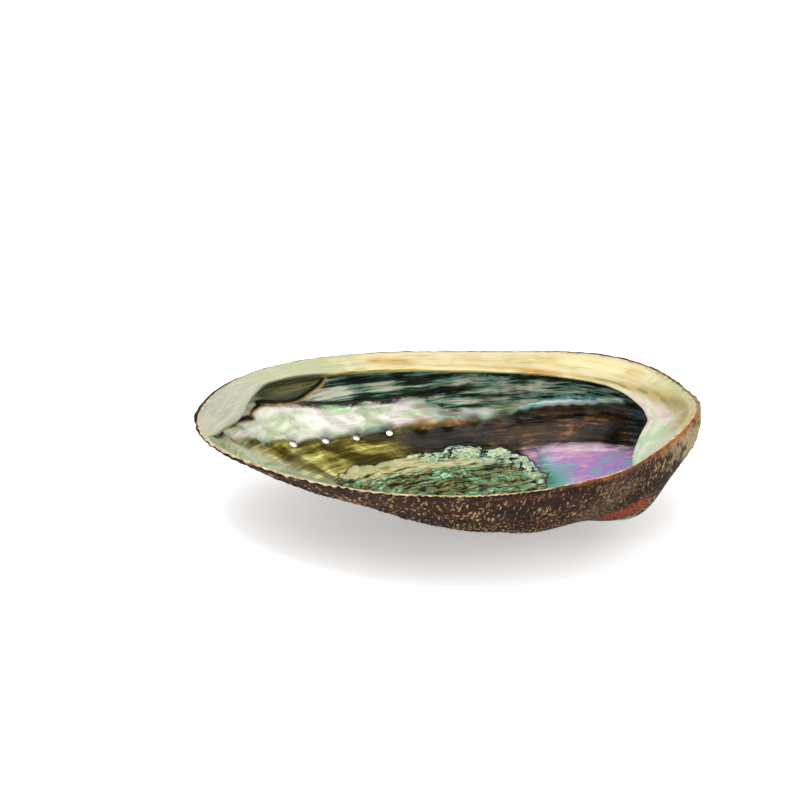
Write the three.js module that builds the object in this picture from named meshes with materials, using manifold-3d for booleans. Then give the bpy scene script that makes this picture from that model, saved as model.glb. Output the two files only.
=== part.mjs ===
// Green abalone shell: one closed solid that lies on its back with the mouth up.
// The mouth is an oval in the XY plane while the shell is shaped: +X is the spire end, -X the
// growing end, +Y the side with the holes and the nacre shelf, and the dome hangs below.
// At the end the solid is turned to the way it rests and stood on Z = 0. Millimetres, +Z up.
import * as THREE from 'three';
import { mergeVertices } from 'three/addons/utils/BufferGeometryUtils.js';
import Module from 'manifold-3d';

const LENGTH = 150; // nominal mouth oval, end to end
const WIDTH = 104.6; // nominal mouth oval, side to side
const DEPTH = 34.4; // mouth plane to the deepest point of the back
const YOUNG_WALL = 2.4; // thickness of the shell in the middle of its growing end
const OLD_WALL = 4.8; // the same at the spire end
const LIP_WALL = 1.1; // thickness at the thin growing lip
const SHELF_WALL = 2.8; // thickness of the wall behind the shelf
const YOUNG_SHELF_WALL = 1.5; // the same at the growing end
const TROUGH = 3.2; // depth of the gutter in the shelf beside the spire
const DEEPEST = [15, 13.4]; // where the back is lowest
const APEX = [46, -12]; // centre of the growth spiral
const GROWTH = 0.5; // the spiral widens by e to this power for each radian
const KEEL_RADIUS = 124; // radius of the row of holes on the -X side of the apex
const KEEL_DIP = 0.108; // how far the row runs inside a true spiral, as a power of e
const KEEL_DIP_AT = 122; // degrees
const KEEL_DIP_SPAN = 25; // degrees
const KNOB_STEP = 5.8; // degrees of spiral between two holes or knobs
const KNOB_FIRST = 170.6; // degrees, the newest hole
const KNOB_COUNT = 18;
const OPEN_HOLES = 6;
const HOLE_RADIUS = 1.7; // of the newest hole
const KNOB_RISE = 1.5; // of the newest knob
const SPIRE_AT = [52.5, -13.1];
const SPIRE_SPREAD = 10.3;
const SPIRE_RISE = 5.15;
const REST_DOWN = [-0.024, -0.04, -1]; // the way down when the shell lies still
const WORN_FLAT = 0.5; // worn off the back where it rests
const GRID = 40; // cells along each side of the outer and the inner net
const TAU = 2 * Math.PI;

// Mouth outline as a share of the oval, at equal steps from +X through +Y.
const RIM_SHAPE = [0.975, 1.035, 1.12, 1.07, 0.99, 1.025, 1.06, 1.035, 1.015, 0.99, 0.97, 0.99, 1, 0.981, 0.944, 0.903];
// How far the mouth rises out of its plane, at the same steps.
const RIM_LIFT = [1.4, 0.2, 0, 0, 0, 0, 0, 0, 0, 0, 0, 0, 0, 0.25, 0.5, -0.55];
// Cross-section of the dome: how square it is, and how steeply it meets the mouth in degrees.
const SQUARENESS = [2.2, 2.5, 2.6, 2.4, 2, 2.2, 2, 2.07];
const LIP_SLOPE = [93, 90, 90, 84, 60, 21, 48, 76];
// Nacre shelf: [degrees around the mouth, width].
const SHELF = [
  [0, 16], [12, 16.2], [24, 15.2], [42, 14.4], [58, 14.4], [75, 12.6], [95, 11.2], [120, 10.6],
  [132, 8.2], [140, 7], [150, 9.4], [158, 11.5], [168, 13.4], [176, 12.6], [184, 8], [194, 3],
  [205, 1.6], [250, 1.5], [308, 2], [320, 4.4], [330, 7.4], [340, 11], [350, 14.2],
];

function radians(degrees) {
  return (degrees * Math.PI) / 180;
}

function mix(a, b, share) {
  return a + (b - a) * share;
}

// 0 below a, 1 above b, with an easy slope between.
function ramp(a, b, x) {
  const share = Math.min(1, Math.max(0, (x - a) / (b - a)));
  return share * share * (3 - 2 * share);
}

// Smooth closed curve through equally spaced values.
function wave(values, angle) {
  const count = values.length;
  let sum = 0;
  for (let i = 0; i < count; i += 1) {
    let gap = angle - (TAU * i) / count;
    if (Math.abs(Math.sin(gap / 2)) < 1e-9) gap = 1e-9;
    sum += (values[i] * Math.sin((count * gap) / 2)) / (count * Math.tan(gap / 2));
  }
  return sum;
}

// Smooth closed curve through [degrees, value] pairs.
function keyed(pairs, angle) {
  const degrees = (((angle * 360) / TAU) % 360 + 360) % 360;
  const count = pairs.length;
  let i = count - 1;
  while (pairs[i][0] > degrees) i -= 1;
  const at = (k) => {
    const turns = Math.floor(k / count);
    const [where, value] = pairs[k - turns * count];
    return [where + 360 * turns, value];
  };
  const [a, b, c, d] = [at(i - 1), at(i), at(i + 1), at(i + 2)];
  const span = c[0] - b[0];
  const share = (degrees - b[0]) / span;
  const leave = ((c[1] - a[1]) / (c[0] - a[0])) * span;
  const arrive = ((d[1] - b[1]) / (d[0] - b[0])) * span;
  const s2 = share * share;
  const s3 = s2 * share;
  return (2 * s3 - 3 * s2 + 1) * b[1] + (s3 - 2 * s2 + share) * leave
    + (3 * s2 - 2 * s3) * c[1] + (s3 - s2) * arrive;
}

function mouth(angle) {
  const k = wave(RIM_SHAPE, angle);
  return [(LENGTH / 2) * k * Math.cos(angle), (WIDTH / 2) * k * Math.sin(angle)];
}

// The mouth outline moved in by a distance, towards its middle.
function inset(angle, distance) {
  const [x, y] = mouth(angle);
  const k = 1 - distance / Math.hypot(x, y);
  return [x * k, y * k];
}

// Point of a superellipse quadrant.
function quadrant(turn, squareness) {
  const s = Math.sin(turn);
  const c = Math.cos(turn);
  const size = (Math.abs(s) ** squareness + Math.abs(c) ** squareness) ** (1 / squareness);
  return [s / size, c / size];
}

// Back of the shell without its knobs: share runs from 0 at the deepest point to 1 at the mouth.
function dome(share, angle) {
  const squareness = wave(SQUARENESS, angle);
  const slope = radians(wave(LIP_SLOPE, angle));
  const [s, c] = quadrant(share * slope, mix(2, squareness, share * share));
  const [sEdge, cEdge] = quadrant(slope, squareness);
  const lift = wave(RIM_LIFT, angle);
  const edge = mouth(angle);
  const out = s / sEdge;
  const down = (c - cEdge) / (1 - cEdge);
  return new THREE.Vector3(
    mix(DEEPEST[0], edge[0], out),
    mix(DEEPEST[1], edge[1], out),
    lift - (DEPTH + lift) * down,
  );
}

// Direction square to the dome, pointing away from the shell.
function domeNormal(share, angle) {
  if (share < 0.02) return new THREE.Vector3(0, 0, -1);
  const across = dome(share, angle + 0.01).sub(dome(share, angle - 0.01));
  const along = dome(Math.min(1, share + 0.01), angle).sub(dome(share - 0.01, angle));
  return across.cross(along).normalize();
}

function keelRadius(turn) {
  const dip = KEEL_DIP * Math.exp(-(((turn - radians(KEEL_DIP_AT)) / radians(KEEL_DIP_SPAN)) ** 2));
  return KEEL_RADIUS * Math.exp(GROWTH * (turn - Math.PI) - dip);
}

// Knobs of the keel, from the newest at the growing end towards the spire.
const knobs = [];
for (let i = 0; i < KNOB_COUNT; i += 1) {
  const turn = radians(KNOB_FIRST - KNOB_STEP * i);
  const radius = keelRadius(turn);
  const size = radius / KEEL_RADIUS;
  knobs.push([APEX[0] + radius * Math.cos(turn), APEX[1] + radius * Math.sin(turn), size]);
}

// How far the outside stands proud of the plain dome.
function relief(point) {
  const toSpire = Math.hypot(point.x - SPIRE_AT[0], point.y - SPIRE_AT[1]) / SPIRE_SPREAD;
  let rise = SPIRE_RISE * Math.exp(-(toSpire ** 2));
  for (const [x, y, size] of knobs) {
    const near = Math.hypot(point.x - x, point.y - y) / (3.4 * size);
    rise += KNOB_RISE * size * Math.exp(-(near ** 2));
  }
  return rise;
}

function outside(share, angle) {
  const point = dome(share, angle);
  const fade = 1 - share ** 6;
  return point.addScaledVector(domeNormal(share, angle), relief(point) * fade);
}

// How much of a shelf there is at this place on the mouth: 0 on the thin lip, 1 on the far side.
function shelfShare(angle) {
  return ramp(2, 8, keyed(SHELF, angle));
}

// Inside of the wall: the dome moved in by the wall, from the deepest point out to the rim's root.
function inside(share, angle) {
  const shelf = shelfShare(angle);
  const squareness = wave(SQUARENESS, angle);
  const slope = radians(wave(LIP_SLOPE, angle));
  const flat = ramp(0.25, 0.9, Math.PI / 2 - slope);
  const young = ramp(0, 0.5, Math.PI / 2 - slope);
  const wall = mix(LIP_WALL, mix(SHELF_WALL, YOUNG_SHELF_WALL, young), shelf);
  const drop = mix(mix(1, 0.1, flat), mix(6, 3, flat), shelf) + wall * Math.max(0, Math.cos(slope));
  const cEdge = quadrant(slope, squareness)[1];
  const c = mix(cEdge, 1, drop / DEPTH);
  const s = (1 - Math.abs(c) ** squareness) ** (1 / squareness);
  const rootShare = Math.atan2(s, c) / slope;
  const from = share * rootShare;
  const point = dome(from, angle);
  const middle = mix(YOUNG_WALL, OLD_WALL, point.x / LENGTH + 0.5);
  return point.addScaledVector(domeNormal(from, angle), -mix(middle, wall, share ** 3));
}

// Section of the rim from the outside over the crest and the shelf to its root under the shelf.
function rimSection(angle) {
  const shelf = shelfShare(angle);
  const root = inside(1, angle);
  const [mouthX, mouthY] = mouth(angle);
  const rootIn = Math.hypot(mouthX, mouthY) - Math.hypot(root.x, root.y);
  // The shelf never ends short of its own root.
  const excess = keyed(SHELF, angle) - rootIn - 0.5;
  const width = rootIn + 0.5 + (excess + Math.hypot(excess, 1)) / 2;
  const degrees = (((angle * 360) / TAU + 90) % 360) - 90;
  const trough = TROUGH * ramp(-10, 14, degrees) * (1 - ramp(48, 84, degrees));
  const edge = mix(1.2, 1.6, shelf) + trough * 0.6;
  const lift = wave(RIM_LIFT, angle);
  // Share of the way from the mouth to the root and rise of the thin lip, then distance in from
  // the mouth and height of the shelf.
  const rows = [
    [0.2, 0.3, 0.9, 0.5],
    [0.4, 0.4, width * 0.3, -0.2 - trough * 0.35],
    [0.56, 0.4, width * 0.55, -0.7 - trough],
    [0.7, 0.32, width * 0.82, -0.9 - trough * 0.8],
    [0.8, 0.24, width, -edge],
    [0.88, 0.15, width - 0.5 * shelf, -edge - 1.2 * shelf],
  ];
  const section = rows.map(([share, rise, distance, height]) => {
    const [x, y] = inset(angle, distance);
    const lip = new THREE.Vector3(mouthX, mouthY, lift).lerp(root, share);
    lip.z += rise;
    return lip.lerp(new THREE.Vector3(x, y, height + lift), shelf);
  });
  const under = section[5].clone().lerp(root, 0.5);
  return [...section, under];
}

// Square net laid on a disc: the edge of the square becomes the circle.
function discPlace(i, j) {
  const a = (2 * i) / GRID - 1;
  const b = (2 * j) / GRID - 1;
  if (a === 0 && b === 0) return [0, 0];
  if (Math.abs(a) >= Math.abs(b)) return [Math.abs(a), Math.atan2(0, a) + (Math.PI / 4) * (b / a)];
  return [Math.abs(b), (Math.sign(b) * Math.PI) / 2 - (Math.PI / 4) * (a / b)];
}

function shellGeometry() {
  const positions = [];
  const triangles = [];
  const add = (point) => {
    positions.push(point.x, point.y, point.z);
    return positions.length / 3 - 1;
  };
  const quad = (a, b, c, d) => triangles.push(a, b, c, a, c, d);
  const net = (surface, turned) => {
    const index = [];
    for (let i = 0; i <= GRID; i += 1) {
      index.push([]);
      for (let j = 0; j <= GRID; j += 1) {
        const [share, angle] = discPlace(i, j);
        index[i].push(add(surface(share, angle)));
      }
    }
    for (let i = 0; i < GRID; i += 1) {
      for (let j = 0; j < GRID; j += 1) {
        const [a, b, c, d] = [index[i][j], index[i + 1][j], index[i + 1][j + 1], index[i][j + 1]];
        // Each cell is split along the line towards the middle, which keeps its two halves full.
        const towards = (2 * i + 1 - GRID) * (2 * j + 1 - GRID) > 0;
        const [p, q, r, s] = towards ? [a, b, c, d] : [b, c, d, a];
        if (turned) quad(p, s, r, q);
        else quad(p, q, r, s);
      }
    }
    return index;
  };
  const outer = net(outside, true);
  const inner = net(inside, false);

  // Border of the square net, once round, with its place on the mouth.
  const border = [];
  for (let k = 0; k < GRID; k += 1) border.push([GRID, k]);
  for (let k = 0; k < GRID; k += 1) border.push([GRID - k, GRID]);
  for (let k = 0; k < GRID; k += 1) border.push([0, GRID - k]);
  for (let k = 0; k < GRID; k += 1) border.push([k, 0]);
  const columns = border.map(([i, j]) => {
    const angle = (discPlace(i, j)[1] + TAU) % TAU;
    return [outer[i][j], ...rimSection(angle).map(add), inner[i][j]];
  });
  columns.forEach((column, k) => {
    const next = columns[(k + 1) % columns.length];
    for (let row = 0; row + 1 < column.length; row += 1) {
      quad(column[row], next[row], next[row + 1], column[row + 1]);
    }
  });

  const geometry = new THREE.BufferGeometry();
  geometry.setAttribute('position', new THREE.Float32BufferAttribute(positions, 3));
  geometry.setIndex(triangles);
  return geometry;
}

const wasm = await Module();
wasm.setup();

function toManifold(geometry) {
  const bare = geometry.clone();
  bare.deleteAttribute('normal');
  bare.deleteAttribute('uv');
  const merged = mergeVertices(bare, 1e-4);
  return new wasm.Manifold(new wasm.Mesh({
    numProp: 3,
    vertProperties: new Float32Array(merged.attributes.position.array),
    triVerts: new Uint32Array(merged.index.array),
  }));
}

function toGeometry(solid) {
  const mesh = solid.getMesh();
  const geometry = new THREE.BufferGeometry();
  geometry.setAttribute('position', new THREE.Float32BufferAttribute(mesh.vertProperties, 3));
  geometry.setIndex(Array.from(mesh.triVerts));
  return geometry;
}

// Open hole: a tapered peg through the wall, square to it. The place on the dome over a knob is
// found by walking the dome.
function holePeg([x, y, size]) {
  let nearest = Infinity;
  let share = 0;
  let angle = 0;
  for (let i = 0; i <= 90; i += 1) {
    for (let j = 0; j <= 100; j += 1) {
      const tryShare = 0.4 + i / 150;
      const tryAngle = radians(80 + j);
      const point = dome(tryShare, tryAngle);
      const gap = Math.hypot(point.x - x, point.y - y);
      if (gap < nearest) [nearest, share, angle] = [gap, tryShare, tryAngle];
    }
  }
  const radius = HOLE_RADIUS * size;
  const peg = new THREE.CylinderGeometry(radius * 1.15, radius, 8, 12);
  const direction = domeNormal(share, angle);
  peg.applyQuaternion(new THREE.Quaternion().setFromUnitVectors(new THREE.Vector3(0, 1, 0), direction));
  const middle = dome(share, angle).addScaledVector(direction, -0.5);
  peg.translate(middle.x, middle.y, middle.z);
  return peg;
}

let solid = toManifold(shellGeometry());
for (const knob of knobs.slice(0, OPEN_HOLES)) solid = solid.subtract(toManifold(holePeg(knob)));

// Turn the shell to the way it lies, and wear the spot it rests on flat.
const turned = toGeometry(solid);
turned.applyQuaternion(new THREE.Quaternion().setFromUnitVectors(
  new THREE.Vector3(...REST_DOWN).normalize(),
  new THREE.Vector3(0, 0, -1),
));
turned.computeBoundingBox();
const worn = new THREE.BoxGeometry(60, 60, 10);
worn.translate(DEEPEST[0], DEEPEST[1], turned.boundingBox.min.z + WORN_FLAT - 5);
solid = toManifold(turned).subtract(toManifold(worn));

const geometry = toGeometry(solid);
geometry.computeBoundingBox();
const { min, max } = geometry.boundingBox;
geometry.translate(-(min.x + max.x) / 2, -(min.y + max.y) / 2, -min.z);
geometry.computeVertexNormals();

const shell = new THREE.Mesh(
  geometry,
  new THREE.MeshStandardMaterial({ color: 0xb9b19c, roughness: 0.35, metalness: 0 }),
);
shell.name = 'shell';

const part = new THREE.Group();
part.add(shell);
export default part;
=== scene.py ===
import math

import bpy
import numpy as np
from mathutils import Matrix, Quaternion, Vector, kdtree, noise


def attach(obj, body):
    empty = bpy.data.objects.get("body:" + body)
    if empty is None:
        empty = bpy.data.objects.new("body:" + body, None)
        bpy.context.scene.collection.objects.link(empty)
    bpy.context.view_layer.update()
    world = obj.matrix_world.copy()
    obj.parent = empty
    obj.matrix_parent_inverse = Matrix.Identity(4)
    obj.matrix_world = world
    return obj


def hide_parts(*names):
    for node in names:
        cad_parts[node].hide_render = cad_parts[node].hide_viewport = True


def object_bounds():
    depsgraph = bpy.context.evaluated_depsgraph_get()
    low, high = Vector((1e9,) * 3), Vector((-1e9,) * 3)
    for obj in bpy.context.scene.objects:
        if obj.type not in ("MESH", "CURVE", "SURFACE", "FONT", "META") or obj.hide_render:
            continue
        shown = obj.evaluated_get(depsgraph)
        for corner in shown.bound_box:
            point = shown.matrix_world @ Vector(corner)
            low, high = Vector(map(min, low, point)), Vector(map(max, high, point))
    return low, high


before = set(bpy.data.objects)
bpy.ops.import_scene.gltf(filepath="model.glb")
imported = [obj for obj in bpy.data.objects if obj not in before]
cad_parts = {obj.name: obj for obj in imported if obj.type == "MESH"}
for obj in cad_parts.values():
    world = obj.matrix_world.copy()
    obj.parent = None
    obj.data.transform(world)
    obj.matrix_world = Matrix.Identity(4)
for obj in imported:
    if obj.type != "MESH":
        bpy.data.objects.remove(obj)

CAD_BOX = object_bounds()
TAU = 2 * math.pi

# --- Sizes of the shell, as in the solid --------------------------------------------------------
LENGTH, WIDTH, DEPTH = 150.0, 104.6, 34.4
YOUNG_WALL, OLD_WALL, LIP_WALL = 2.4, 4.8, 1.1
SHELF_WALL, YOUNG_SHELF_WALL, TROUGH = 2.8, 1.5, 3.2
DEEPEST = np.array([15.0, 13.4])
APEX = np.array([46.0, -12.0])
GROWTH = 0.5
KEEL_RADIUS, KEEL_DIP, KEEL_DIP_AT, KEEL_DIP_SPAN = 124.0, 0.108, 122.0, 25.0
KNOB_STEP, KNOB_FIRST, KNOB_COUNT, OPEN_HOLES = 5.8, 170.6, 18, 6
HOLE_RADIUS, KNOB_RISE = 1.7, 1.5
SPIRE_AT, SPIRE_SPREAD, SPIRE_RISE = np.array([52.5, -13.1]), 10.3, 5.15
REST_DOWN, WORN_FLAT = (-0.024, -0.04, -1.0), 0.5
# The mouth's outline as a share of an oval, how far it leaves one plane, and the dome's section,
# each at equal steps from +X through +Y.
RIM_SHAPE = [
    0.975, 1.035, 1.12, 1.07, 0.99, 1.025, 1.06, 1.035,
    1.015, 0.99, 0.97, 0.99, 1, 0.981, 0.944, 0.903,
]
RIM_LIFT = [1.4, 0.2, 0, 0, 0, 0, 0, 0, 0, 0, 0, 0, 0, 0.25, 0.5, -0.55]
SQUARENESS = [2.2, 2.5, 2.6, 2.4, 2, 2.2, 2, 2.07]
LIP_SLOPE = [93, 90, 90, 84, 60, 21, 48, 76]
# Nacre shelf: [degrees around the mouth, width].
SHELF = [
    [0, 16], [12, 16.2], [24, 15.2], [42, 14.4], [58, 14.4], [75, 12.6], [95, 11.2], [120, 10.6],
    [132, 8.2], [140, 7], [150, 9.4], [158, 11.5], [168, 13.4], [176, 12.6], [184, 8], [194, 3],
    [205, 1.6], [250, 1.5], [308, 2], [320, 4.4], [330, 7.4], [340, 11], [350, 14.2],
]

# --- Sizes that only the looks need -------------------------------------------------------------
GRID = 200  # cells along each side of the back's and the bowl's net, 0.4 to 0.9 mm each
RIM_ROWS = 18  # rows of faces over the rim, from the back to the bowl
CORDS = 105  # fine spiral ribs between two turns of the row of holes, 2.4 mm apart at the lip
COARSE_CORDS = 52  # the same near the spire
CORD_RISE = 0.3
KEEL_MM = 2.81  # mm from the row of holes for each whorl and each mm from the apex, seen from above
WALL_LEAN = 0.8  # height for each mm up the far wall
MM_PER_WHORL, MM_PER_AGE = 240, 93  # of the growth map, at the lip
MM_PER_CLIMB = 200  # height up the bowl's wall that counts as a whorl more on the growth map
PIT_DEPTH = 1.7  # of the hollow in the nacre at the newest hole
# How dark each hollow round a hole is painted, brown nacre and painted shade, from the newest, and
# the rest.
PIT_SHADE_BROWN = (0.6, 0.7, 0.85, 0.9, 1.0, 1.0, 0.9, 0.7, 0.5)
OLD_PIT_SHADE_BROWN = 0.15
# Dark edge of the shelf's nacre where it drapes into the bowl: [degrees, height].
DRAPE = [
    [100, 3], [117, 2], [122, -6.1], [125, -7.8], [129, -9.6], [134, -10.3], [140, -8.9],
    [145, -7.2], [148, -8.2], [153, -9], [157, -8.7], [164, -7.1], [172, -5.6], [180, -5], [190, -2],
]
# Groove along the far wall above the row of holes: [degrees, height].
FOLD = [
    [60, -7], [83, -9.9], [93, -11.6], [96, -12.7], [104, -13.4], [112, -13.9], [124, -13.5],
    [133, -11.5], [142, -8.9], [150, -5], [170, -3],
]
# Scalloped ledge along the far wall at the spire end: [degrees, height].
LEDGE = [
    [30, -8.4], [41, -10.4], [47, -11.3], [53, -12.8], [61, -14.3], [68, -15], [74, -16.7],
    [82, -18.6],
    [90, -19.6],
]
# Caverns between the folds of the far wall, painted black as shade, and pearly bumps that take a
# painted highlight: x, y, z, half width and half height.
CAVERNS = [
    (-2.2, 47.4, -11, 3.2, 0.9), (11, 46, -14.2, 4.2, 1.5), (1, 44, -17.3, 2.6, 0.8),
    (21.5, 45.5, -12.6, 4.2, 1.3),
]
PEARLS = [(9.5, 43.6, -17.6, 4.6, 1.0), (-3, 44, -18.6, 2.4, 0.7)]
BORE = np.array([0, 0.906, -0.423])  # way the older holes slant through the wall
BORE_SLANT = (0, 0, 0.66, 0.56, 0.5, 0.6)  # how far each hole leans that way, from the newest
# Outline of the scar where the muscle held on, on the bowl's floor: (x, y).
SCAR = [
    (-36, 6), (-31.6, 17.7), (-22.2, 25.7), (-14.6, 29.6), (-8, 31.6), (-1.9, 33.8), (6, 34.8),
    (14.9, 33.8), (21.3, 31.2), (25.4, 28.4), (29.6, 22.2), (28.4, 14), (25, 4), (12, -6), (-6, -10),
    (-22, -8), (-32, -2),
]


# --- Curves -------------------------------------------------------------------------------------
def mix(a, b, share):
    return a + (b - a) * share


def ramp(a, b, x):
    """0 below a, 1 above b, with an easy slope between."""
    share = np.clip((x - a) / (b - a), 0, 1)
    return share * share * (3 - 2 * share)


def window(a, b, soft, x):
    """1 between a and b, 0 outside, with edges of that softness."""
    return ramp(a - soft, a + soft, x) * (1 - ramp(b - soft, b + soft, x))


def bell(x):
    return np.exp(-x * x)


def wave(values, turn):
    """Smooth closed curve through equally spaced values."""
    count = len(values)
    gap = np.subtract.outer(turn, TAU * np.arange(count) / count)
    gap = np.where(np.abs(np.sin(gap / 2)) < 1e-9, 1e-9, gap)
    return (np.sin(count * gap / 2) / (count * np.tan(gap / 2)) * np.array(values, float)).sum(-1)


def keyed(pairs, turn):
    """Smooth closed curve through [degrees, value] pairs."""
    pairs = np.array(pairs, float)
    count = len(pairs)
    degrees = np.mod(np.degrees(turn), 360)
    i = np.searchsorted(pairs[:, 0], degrees, side="right") - 1
    (xa, ya), (xb, yb), (xc, yc), (xd, yd) = [
        (pairs[k % count, 0] + 360.0 * np.floor_divide(k, count), pairs[k % count, 1])
        for k in (i - 1, i, i + 1, i + 2)
    ]
    span = xc - xb
    s = (degrees - xb) / span
    leave = (yc - ya) / (xc - xa) * span
    arrive = (yd - yb) / (xd - xb) * span
    return (
        (2 * s**3 - 3 * s**2 + 1) * yb + (s**3 - 2 * s**2 + s) * leave
        + (3 * s**2 - 2 * s**3) * yc + (s**3 - s**2) * arrive
    )


def keyed_open(pairs, turn):
    """Straight lines through [degrees, value] pairs, eased by averaging over four degrees."""
    pairs = np.array(pairs, float)
    degrees = np.mod(np.degrees(turn), 360)
    steps = [np.interp(degrees + d, pairs[:, 0], pairs[:, 1]) for d in (-2, -1, 0, 1, 2)]
    return sum(steps) / len(steps)


def mouth(turn):
    k = wave(RIM_SHAPE, turn)
    return np.stack([LENGTH / 2 * k * np.cos(turn), WIDTH / 2 * k * np.sin(turn)], -1)


def quadrant(turn, squareness):
    s, c = np.sin(turn), np.cos(turn)
    size = (np.abs(s) ** squareness + np.abs(c) ** squareness) ** (1 / squareness)
    return s / size, c / size


def dome(share, turn):
    """Back of the shell without relief, from 0 at the deepest point to 1 at the mouth."""
    squareness = wave(SQUARENESS, turn)
    slope = np.radians(wave(LIP_SLOPE, turn))
    s, c = quadrant(share * slope, mix(2, squareness, share**2))
    s_edge, c_edge = quadrant(slope, squareness)
    lift = wave(RIM_LIFT, turn)
    flat = DEEPEST + (mouth(turn) - DEEPEST) * (s / s_edge)[..., None]
    height = lift - (DEPTH + lift) * (c - c_edge) / (1 - c_edge)
    return np.concatenate([flat, height[..., None]], -1)


def dome_normal(share, turn):
    across = dome(share, turn + 0.01) - dome(share, turn - 0.01)
    along = dome(np.minimum(1, share + 0.01), turn) - dome(share - 0.01, turn)
    square = np.cross(across, along)
    square /= np.linalg.norm(square, axis=-1, keepdims=True) + 1e-12
    return np.where((share < 0.02)[..., None], np.array([0, 0, -1.0]), square)


def shelf_share(turn):
    return ramp(2, 8, keyed(SHELF, turn))


def wall_at(share, turn):
    """Point of the dome behind a point of the bowl, and the wall's thickness there."""
    shelf = shelf_share(turn)
    squareness = wave(SQUARENESS, turn)
    slope = np.radians(wave(LIP_SLOPE, turn))
    flat = ramp(0.25, 0.9, math.pi / 2 - slope)
    young = ramp(0, 0.5, math.pi / 2 - slope)
    wall = mix(LIP_WALL, mix(SHELF_WALL, YOUNG_SHELF_WALL, young), shelf)
    drop = mix(mix(1, 0.1, flat), mix(6, 3, flat), shelf) + wall * np.maximum(0, np.cos(slope))
    c_edge = quadrant(slope, squareness)[1]
    c = mix(c_edge, 1, drop / DEPTH)
    s = (1 - np.abs(c) ** squareness) ** (1 / squareness)
    behind = share * np.arctan2(s, c) / slope
    middle = mix(YOUNG_WALL, OLD_WALL, dome(behind, turn)[..., 0] / LENGTH + 0.5)
    return behind, mix(middle, wall, share**3)


def growth(x, y):
    """Spiral the shell grew on: distance from the apex, whorl and age at a point of the mouth plane.
    The whorl is 0 on the row of holes and falls to -1 at the seam with the turn before."""
    dx, dy = x - APEX[0], y - APEX[1]
    radius = np.hypot(dx, dy) + 0.05
    cut = math.radians(-3)
    turn = np.mod(np.arctan2(dy, dx) - cut, TAU) + cut
    dip = KEEL_DIP * bell((turn - math.radians(KEEL_DIP_AT)) / math.radians(KEEL_DIP_SPAN))
    whorl = (np.log(radius / KEEL_RADIUS) - GROWTH * (turn - math.pi) + dip) / (TAU * GROWTH)
    return radius, turn, whorl


def keel_radius(turn):
    dip = KEEL_DIP * bell((turn - math.radians(KEEL_DIP_AT)) / math.radians(KEEL_DIP_SPAN))
    return KEEL_RADIUS * np.exp(GROWTH * (turn - math.pi) - dip)


def mottle(points, size, seed):
    """Smooth noise from -1 to 1 with lumps of that size."""
    moved = points / size + seed
    return np.array([noise.noise(Vector(p)) for p in moved])


# Knobs of the keel, from the newest at the growing end: place, size, and where they sit on the dome.
knob_turn = np.radians(KNOB_FIRST - KNOB_STEP * np.arange(KNOB_COUNT))
knob_radius = keel_radius(knob_turn)
knob_size = knob_radius / KEEL_RADIUS
knob_at = APEX + knob_radius[:, None] * np.stack([np.cos(knob_turn), np.sin(knob_turn)], -1)
try_share, try_turn = np.meshgrid(
    0.4 + np.arange(91) / 150, np.radians(np.arange(20, 181)), indexing="ij"
)
try_share, try_turn = try_share.ravel(), try_turn.ravel()
gap = np.linalg.norm(dome(try_share, try_turn)[:, None, :2] - knob_at, axis=-1)
nearest = gap.argmin(0)
knob_point = dome(try_share[nearest], try_turn[nearest])
knob_normal = dome_normal(try_share[nearest], try_turn[nearest])


# --- Relief -------------------------------------------------------------------------------------
def cord_wave(radius, whorl):
    """Rounded ribs between narrow grooves, half as many near the spire, from -0.5 to 0.5."""
    fine = np.abs(np.cos(math.pi * CORDS * whorl)) - 0.5
    coarse = np.abs(np.cos(math.pi * COARSE_CORDS * whorl)) - 0.5
    return mix(coarse, fine, ramp(34, 52, radius))


def crust_rise(points, share):
    """How far the outside stands proud of the dome."""
    x, y = points[:, 0], points[:, 1]
    radius, turn, whorl = growth(x, y)
    age = (np.log(radius) + 1.3 * turn) / 1.8
    rise = SPIRE_RISE * bell(np.hypot(x - SPIRE_AT[0], y - SPIRE_AT[1]) / SPIRE_SPREAD)
    for (kx, ky), size, k in zip(knob_at, knob_size, range(KNOB_COUNT)):
        away = np.hypot(x - kx, y - ky)
        rise = rise + KNOB_RISE * size * bell(away / (3.4 * size))
        if k < OPEN_HOLES:
            rise = rise + 0.35 * size * bell((away - 2.4 * size) / (0.7 * size))
    rise = rise * (1 - share**6)
    wander = mottle(points, 14, 3.1)
    lines = 0.5 * np.sin(TAU * (8.5 * age + 0.5 * wander))
    lines = lines + 0.35 * np.sin(TAU * (21 * age + 0.9 * wander))
    body = ramp(16, 30, radius)
    rough = 0.35 * mottle(points, 4.2, 7.7) + 0.16 * mottle(points, 1.7, 1.3)
    rise = rise + (0.22 * lines + rough) * body
    rise = rise + CORD_RISE * cord_wave(radius, whorl) * body * (1 + 0.8 * wander)
    spire = (1 - ramp(20, 34, radius)) * ramp(0.5, 4, radius)
    rise = rise + spire * (0.075 * radius * (np.abs(np.sin(math.pi * whorl)) - 0.4))
    return rise


def above_ledge(x, z, turn):
    """Height over the ledge's scalloped line, in mm."""
    return z - keyed_open(LEDGE, turn) + 0.4 * np.abs(np.sin(math.pi * x / 4.2)) - 0.2


def spots(places, x, y, z, taller=1.0):
    """1 in the middle of each place, falling off over its half width and half height."""
    return sum(
        bell(np.hypot(np.hypot((x - px) / wide, (y - py) / 4), (z - pz) / (taller * tall)))
        for px, py, pz, wide, tall in places
    )


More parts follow.
